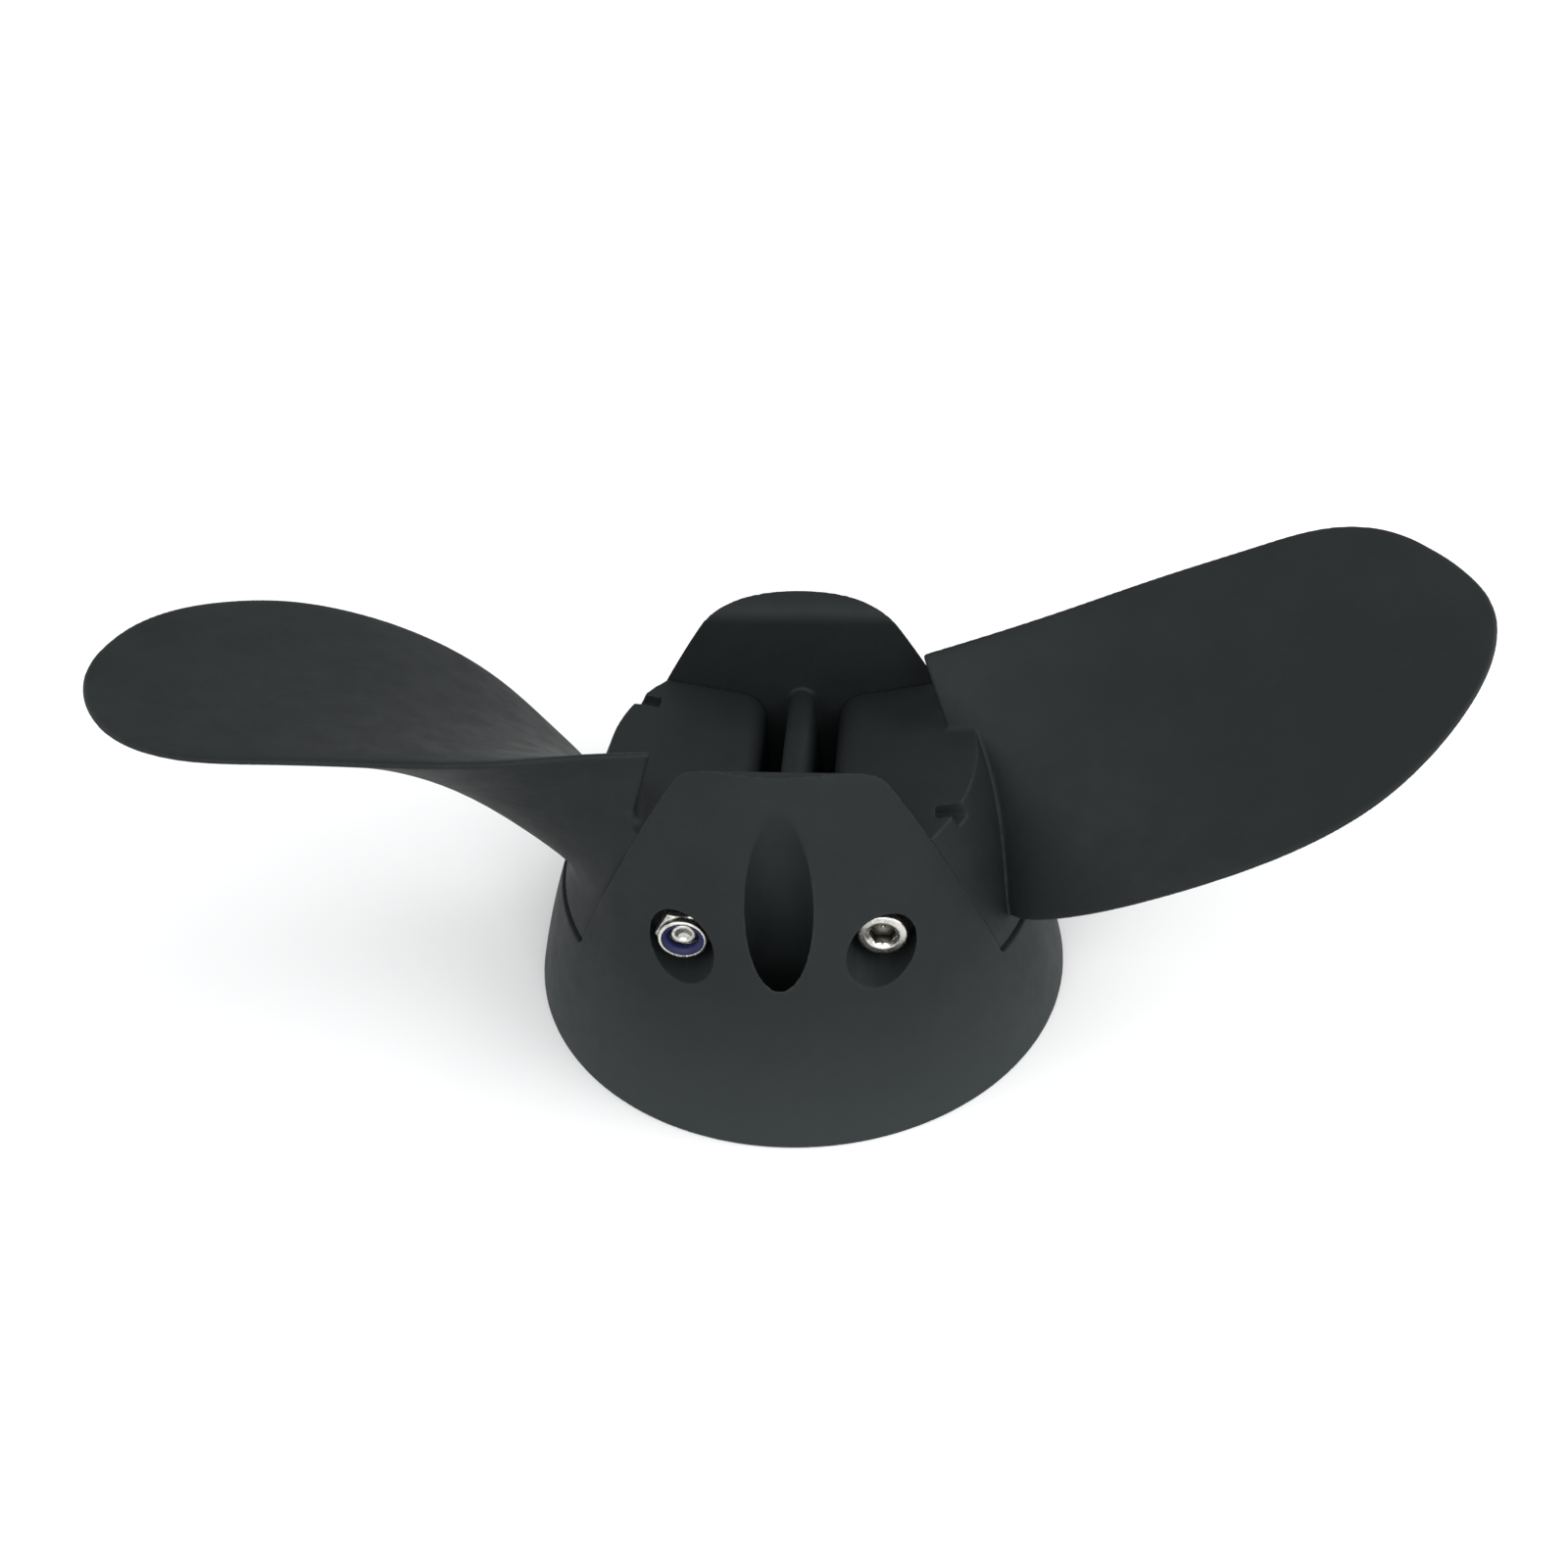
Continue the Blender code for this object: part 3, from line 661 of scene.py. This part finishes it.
def tree_distance(foil, points):
    """Signed distance of each point from a closed mesh.

    The side comes from the normal that the corners' normals give at the
    nearest place, which also holds along knife edges.
    """
    tree, corners, normals = foil
    places = np.empty((len(points), 3))
    faces = np.empty(len(points), dtype=int)
    out = np.empty(len(points))
    for index, point in enumerate(points.tolist()):
        place, _, faces[index], out[index] = tree.find_nearest(point)
        places[index] = place
    a, b, c = (corners[faces, part] for part in range(3))
    whole = np.cross(b - a, c - a)
    size = np.maximum((whole * whole).sum(1), 1e-12)
    share_b = (np.cross(places - a, c - a) * whole).sum(1) / size
    share_c = (np.cross(b - a, places - a) * whole).sum(1) / size
    shares = np.stack([1.0 - share_b - share_c, share_b, share_c], axis=1)
    normal = (normals[faces] * shares[:, :, None]).sum(1)
    outward = ((points - places) * normal).sum(1)
    return np.where(outward > 0.0, out, -out).astype(np.float32)


def stretch(coarse, coarse_axes, axes):
    """Values of a coarse grid at the places of a finer one."""
    out = coarse
    for part in range(3):
        places = np.interp(axes[part], coarse_axes[part],
                           np.arange(len(coarse_axes[part])))
        low = np.clip(places.astype(int), 0, len(coarse_axes[part]) - 2)
        share = (places - low).astype(np.float32)
        share = share.reshape([-1 if axis == part else 1 for axis in range(3)])
        out = (np.take(out, low, axis=part) * (1.0 - share)
               + np.take(out, low + 1, axis=part) * share)
    return out


def finish_blade(foil, x, y, z):
    """Blade from the foil's distance: joined, cleared, notched and bored."""
    reach = np.hypot(x - PIVOT_X, z - PIVOT_Z)
    limit = (SLOT_HALF_WIDTH - CHEEK_CLEARANCE
             + np.maximum(0.0, reach - CHEEK_REACH))
    foil = round_cut(foil - BLADE_EDGE, (y - limit) * CHEEK_SCALE,
                     CHEEK_CUT_EDGE)
    leading, trailing = Vector(LEADING_EDGE[0]), Vector(TRAILING_EDGE[0])
    fore_dir = (trailing - leading).cross(Vector(BLADE_TIP) - leading).normalized()
    depth = ((x - leading.x) * fore_dir.x + (y - leading.y) * fore_dir.y
             + (z - leading.z) * fore_dir.z)
    share = np.clip((depth - FILLET_START) / FILLET_RUN, 0.0, 1.0)
    fillet = AFT_FILLET + (FORE_FILLET - AFT_FILLET) * share
    body = round_join(knuckle_shape(x, y, z), foil, fillet)
    body = round_remove(body, clear_of_hub(x, y, z), NOTCH_EDGE)
    body = round_remove(body, notch_shape(x, y, z), NOTCH_EDGE)
    return round_remove(body, reach - SCREW_RADIUS - CLEARANCE, BORE_EDGE)


def blade_net():
    """Surface of the +X blade moulding."""
    tree = foil_tree()
    axes, (x, y, z) = grid_axes(*BLADE_BOX, BLADE_CELL)
    coarse_axes, grid = grid_axes(*BLADE_BOX, COARSE_FACTOR * BLADE_CELL)
    nodes = np.stack(np.broadcast_arrays(*grid), axis=-1).reshape(-1, 3)
    coarse = tree_distance(tree, nodes).reshape([len(a) for a in coarse_axes])
    foil = stretch(coarse, coarse_axes, axes)
    near = np.abs(foil - BLADE_EDGE) < FOIL_BAND
    body = finish_blade(foil, x, y, z)
    near &= np.abs(body) < BODY_BAND
    where = np.nonzero(near)
    points = np.stack([axes[part][where[part]] for part in range(3)], axis=-1)
    foil[where] = tree_distance(tree, points)
    body = finish_blade(foil, x, y, z)
    places, quads = surface_net(body, axes, BLADE_CELL)
    return cell_points(places, quads), quads


# Pieces

def pivot_place():
    """Where a shape made along Z goes on the right pivot, its start in front."""
    return (Matrix.Translation((PIVOT_X * MM, 0.0, PIVOT_Z * MM))
            @ Matrix.Rotation(-0.5 * math.pi, 4, "X"))


def make_pieces(composite, steel, nylon):
    """The dressed pieces, each standing for the node of the same shape."""
    hub = mesh_object("hub_moulding", *net_of(hub_shape, *HUB_BOX, HUB_CELL),
                      HUB_SHARE)
    dress(hub, "hub_body", "hub", composite)
    blade = blade_net()
    screw = net_of(screw_shape, *SCREW_BOX, SMALL_CELL)
    nut = net_of(nut_shape, *NUT_BOX, SMALL_CELL)
    ring = net_of(ring_shape, *RING_BOX, SMALL_CELL)
    for label, angle in (("right", 0.0), ("left", math.pi)):
        turn = Matrix.Rotation(angle, 4, "Z")
        moulding = mesh_object("blade_moulding_" + label, *blade, BLADE_SHARE,
                               turn)
        dress(moulding, "blade_" + label, label + "_blade",
              composite)
        place = turn @ pivot_place()
        for kind, node, net, slot, material, share in (
                ("screw", "pivot_screw_", screw, "stainless_steel", steel,
                 SCREW_SHARE),
                ("nut", "lock_nut_", nut, "stainless_steel", steel, NUT_SHARE),
                ("ring", "nylon_ring_", ring, "blue_nylon", nylon, NUT_SHARE)):
            piece = mesh_object(kind + "_" + label, *net, share, place)
            dress(piece, node + label, "hub", material)


# Materials

class Sheet:
    """Short way to build a node material."""

    def __init__(self, name):
        self.material = bpy.data.materials.new(name)
        self.material.use_nodes = True
        self.tree = self.material.node_tree
        self.shader = self.tree.nodes["Principled BSDF"]
        coordinates = self.tree.nodes.new("ShaderNodeTexCoord")
        self.place = coordinates.outputs["Object"]

    def link(self, source, target):
        self.tree.links.new(source, target)

    def node(self, kind, inputs=(), **settings):
        made = self.tree.nodes.new("ShaderNode" + kind)
        for key, value in settings.items():
            setattr(made, key, value)
        for key, value in dict(inputs).items():
            if isinstance(value, bpy.types.NodeSocket):
                self.link(value, made.inputs[key])
            else:
                made.inputs[key].default_value = value
        return made

    def noise(self, scale, detail=3.0, roughness=0.5, place=None):
        return self.node("TexNoise", {"Vector": place or self.place,
                                      "Scale": scale, "Detail": detail,
                                      "Roughness": roughness}).outputs["Fac"]

    def ranged(self, value, low, high, to_low=0.0, to_high=1.0):
        return self.node("MapRange", {"Value": value, "From Min": low,
                                      "From Max": high, "To Min": to_low,
                                      "To Max": to_high}).outputs["Result"]

    def math(self, operation, a, b):
        return self.node("Math", {0: a, 1: b}, operation=operation).outputs[0]

    def mix(self, factor, a, b):
        mixer = self.node("Mix", data_type="RGBA")
        for socket, value in zip((0, 6, 7), (factor, a, b)):
            if isinstance(value, bpy.types.NodeSocket):
                self.link(value, mixer.inputs[socket])
            else:
                mixer.inputs[socket].default_value = value
        return mixer.outputs[2]

    def bump(self, height, distance, strength=1.0, normal=None):
        inputs = {"Height": height, "Distance": distance, "Strength": strength}
        if normal is not None:
            inputs["Normal"] = normal
        return self.node("Bump", inputs).outputs["Normal"]


def colour(red, green, blue):
    return (red, green, blue, 1.0)


def edge_mask(sheet, radius, low, high):
    """High where the surface turns within a radius."""
    rounded = sheet.node("Bevel", {"Radius": radius}, samples=6).outputs[0]
    true = sheet.node("NewGeometry").outputs["Normal"]
    agree = sheet.node("VectorMath", {0: rounded, 1: true},
                       operation="DOT_PRODUCT").outputs["Value"]
    return sheet.ranged(agree, low, high)


def black_composite():
    """Moulded fibre-filled composite: fine grain, faint scuffs, worn edges.

    Towards the foot of the hub it gets paler: painted floor bounce light.
    """
    sheet = Sheet("moulded_composite")
    clouds = sheet.noise(60.0, 4.0, 0.6)
    base = sheet.mix(sheet.ranged(clouds, 0.35, 0.65),
                     colour(*COMPOSITE_DARK), colour(*COMPOSITE_LIGHT))
    # Painted floor bounce light: the colour turns paler towards the hub's foot
    height = sheet.node("SeparateXYZ", {"Vector": sheet.place}).outputs["Z"]
    base = sheet.mix(sheet.ranged(height, BOUNCE_FADE_HEIGHT, 0.0), base,
                     colour(*PAINTED_BOUNCE_TONE))
    stretched = sheet.node("Mapping", {"Vector": sheet.place,
                                       "Scale": (1.0, 1.0, 0.16)}).outputs[0]
    fibres = sheet.noise(2600.0, 2.0, 0.6, stretched)
    base = sheet.mix(sheet.ranged(fibres, 0.62, 0.74, 0.0, 0.2), base,
                     colour(*FIBRE_TONE))
    worn = sheet.math("MULTIPLY", edge_mask(sheet, 0.0006, 0.985, 0.93),
                      sheet.ranged(sheet.noise(320.0, 3.0, 0.7), 0.42, 0.6))
    base = sheet.mix(sheet.math("MULTIPLY", worn, 0.3), base,
                     colour(*WORN_TONE))
    streaks = sheet.node("Mapping", {"Vector": sheet.place,
                                     "Rotation": (0.4, 0.9, 0.3),
                                     "Scale": (1.0, 14.0, 14.0)}).outputs[0]
    scuffs = sheet.ranged(sheet.noise(70.0, 3.0, 0.75, streaks), 0.66, 0.78)
    patchy = sheet.ranged(sheet.noise(38.0, 2.0, 0.5), 0.5, 0.62)
    scuffs = sheet.math("MULTIPLY", scuffs, patchy)
    base = sheet.mix(sheet.math("MULTIPLY", scuffs, 0.3), base,
                     colour(*SCUFF_TONE))
    sheet.link(base, sheet.shader.inputs["Base Color"])
    rough = sheet.ranged(sheet.noise(150.0, 4.0, 0.65), 0.3, 0.7, 0.52, 0.64)
    rough = sheet.math("ADD", rough, sheet.math("MULTIPLY", scuffs, 0.12))
    sheet.link(rough, sheet.shader.inputs["Roughness"])
    swirl = sheet.bump(sheet.noise(110.0, 2.0, 0.5), 0.00018, 0.05)
    grain = sheet.bump(sheet.noise(2400.0, 3.0, 0.6), 0.00003, 0.5, swirl)
    sheet.link(grain, sheet.shader.inputs["Normal"])
    sheet.shader.inputs["IOR"].default_value = 1.5
    sheet.shader.inputs["Specular IOR Level"].default_value = 0.15
    return sheet.material


def stainless_steel():
    """Bright machined steel with turning marks and dull specks, its hollows darkened
    with painted shade.
    """
    sheet = Sheet("machined_steel")
    specks = sheet.ranged(sheet.noise(900.0, 4.0, 0.65), 0.5, 0.72)
    base = sheet.mix(specks, colour(*STEEL_BRIGHT), colour(*STEEL_DULL))
    # Painted shade: an ambient occlusion mask darkens the colour in the steel's
    # hollows
    open_to_light = sheet.node("AmbientOcclusion", {"Distance": 0.003},
                         samples=8, only_local=True).outputs["AO"]
    painted_hollow_shade = sheet.ranged(open_to_light, 0.92, 0.6)
    base = sheet.mix(painted_hollow_shade, base, colour(*HOLLOW_SHADE_TONE))
    sheet.link(base, sheet.shader.inputs["Base Color"])
    sheet.shader.inputs["Metallic"].default_value = 1.0
    rough = sheet.ranged(sheet.noise(600.0, 3.0, 0.6), 0.3, 0.7, 0.20, 0.38)
    sheet.link(rough, sheet.shader.inputs["Roughness"])
    brushed = sheet.node("Mapping", {"Vector": sheet.place,
                                     "Scale": (1.0, 9.0, 1.0)}).outputs[0]
    marks = sheet.noise(1500.0, 2.0, 0.6, brushed)
    sheet.link(sheet.bump(marks, 0.00002, 0.5), sheet.shader.inputs["Normal"])
    return sheet.material


def blue_nylon():
    """Blue nylon with mild mottling."""
    sheet = Sheet("dyed_nylon")
    mottle = sheet.ranged(sheet.noise(800.0, 3.0, 0.6), 0.35, 0.65)
    base = sheet.mix(mottle, colour(*NYLON_DARK), colour(*NYLON_LIGHT))
    sheet.link(base, sheet.shader.inputs["Base Color"])
    rough = sheet.ranged(mottle, 0.0, 1.0, 0.36, 0.5)
    sheet.link(rough, sheet.shader.inputs["Roughness"])
    sheet.shader.inputs["Specular IOR Level"].default_value = 0.25
    grain = sheet.bump(sheet.noise(2600.0, 2.0, 0.5), 0.00003, 0.4)
    sheet.link(grain, sheet.shader.inputs["Normal"])
    return sheet.material


# Studio

def studio_floor():
    """Pale floor that the propeller stands on."""
    sheet = Sheet("pale_floor")
    tone = sheet.ranged(sheet.noise(6.0, 4.0, 0.55), 0.3, 0.7)
    sheet.link(sheet.mix(tone, colour(0.80, 0.80, 0.80), colour(0.82, 0.82, 0.82)),
               sheet.shader.inputs["Base Color"])
    rough = sheet.ranged(sheet.noise(40.0, 3.0, 0.6), 0.3, 0.7, 0.75, 0.85)
    sheet.link(rough, sheet.shader.inputs["Roughness"])
    sheet.shader.inputs["Specular IOR Level"].default_value = 0.1
    mesh = bpy.data.meshes.new("studio_floor")
    corners = [(-FLOOR_HALF, -FLOOR_HALF, FLOOR_LEVEL),
               (FLOOR_HALF, -FLOOR_HALF, FLOOR_LEVEL),
               (FLOOR_HALF, FLOOR_HALF, FLOOR_LEVEL),
               (-FLOOR_HALF, FLOOR_HALF, FLOOR_LEVEL)]
    mesh.from_pydata(corners, [], [(0, 1, 2, 3)])
    mesh.materials.append(sheet.material)
    floor = bpy.data.objects.new("studio_floor", mesh)
    bpy.context.scene.collection.objects.link(floor)


def soft_light(name, azimuth, power):
    """Wide softbox that faces the propeller from an azimuth."""
    turn = math.radians(azimuth)
    level = LIGHT_DISTANCE * math.cos(LIGHT_ELEVATION)
    place = Vector((level * math.sin(turn), -level * math.cos(turn),
                    LIGHT_DISTANCE * math.sin(LIGHT_ELEVATION)))
    data = bpy.data.lights.new(name, "AREA")
    data.shape = "RECTANGLE"
    data.size = LIGHT_WIDTH
    data.size_y = LIGHT_HEIGHT
    data.energy = power
    lamp = bpy.data.objects.new(name, data)
    lamp.location = place
    lamp.rotation_euler = (-place).to_track_quat("-Z", "Y").to_euler()
    bpy.context.scene.collection.objects.link(lamp)


def studio_world(strength):
    """Even pale surroundings."""
    world = bpy.data.worlds.new("studio")
    world.use_nodes = True
    background = world.node_tree.nodes["Background"]
    background.inputs["Color"].default_value = colour(0.97, 0.985, 1.0)
    background.inputs["Strength"].default_value = strength
    bpy.context.scene.world = world


def photo_camera():
    """Camera at the photograph's viewing angle."""
    az, el = CAMERA_AZIMUTH, CAMERA_ELEVATION
    back = Vector((math.sin(az) * math.cos(el), -math.cos(az) * math.cos(el),
                   math.sin(el)))
    right = (-back).cross(Vector((0.0, 0.0, 1.0))).normalized()
    up = right.cross(-back)
    cos_roll, sin_roll = math.cos(CAMERA_ROLL), math.sin(CAMERA_ROLL)
    across = right * cos_roll + up * sin_roll
    upward = up * cos_roll - right * sin_roll
    data = bpy.data.cameras.new("photo_camera")
    data.sensor_width = SENSOR_WIDTH
    data.lens = CAMERA_LENS
    data.clip_start = 0.01
    data.clip_end = 50.0
    camera = bpy.data.objects.new("photo_camera", data)
    matrix = Matrix((across, upward, back)).transposed().to_4x4()
    matrix.translation = CAMERA_AIM + back * CAMERA_DISTANCE
    camera.matrix_world = matrix
    bpy.context.scene.collection.objects.link(camera)
    bpy.context.scene.camera = camera


photo_camera()
studio_floor()
studio_world(0.60)
soft_light("front_box", 0.0, 33.0)
soft_light("right_box", 90.0, 40.0)
soft_light("left_box", -90.0, 19.0)
scene = bpy.context.scene
scene.view_settings.view_transform = "Standard"
scene.view_settings.look = "None"
make_pieces(black_composite(), stainless_steel(), blue_nylon())
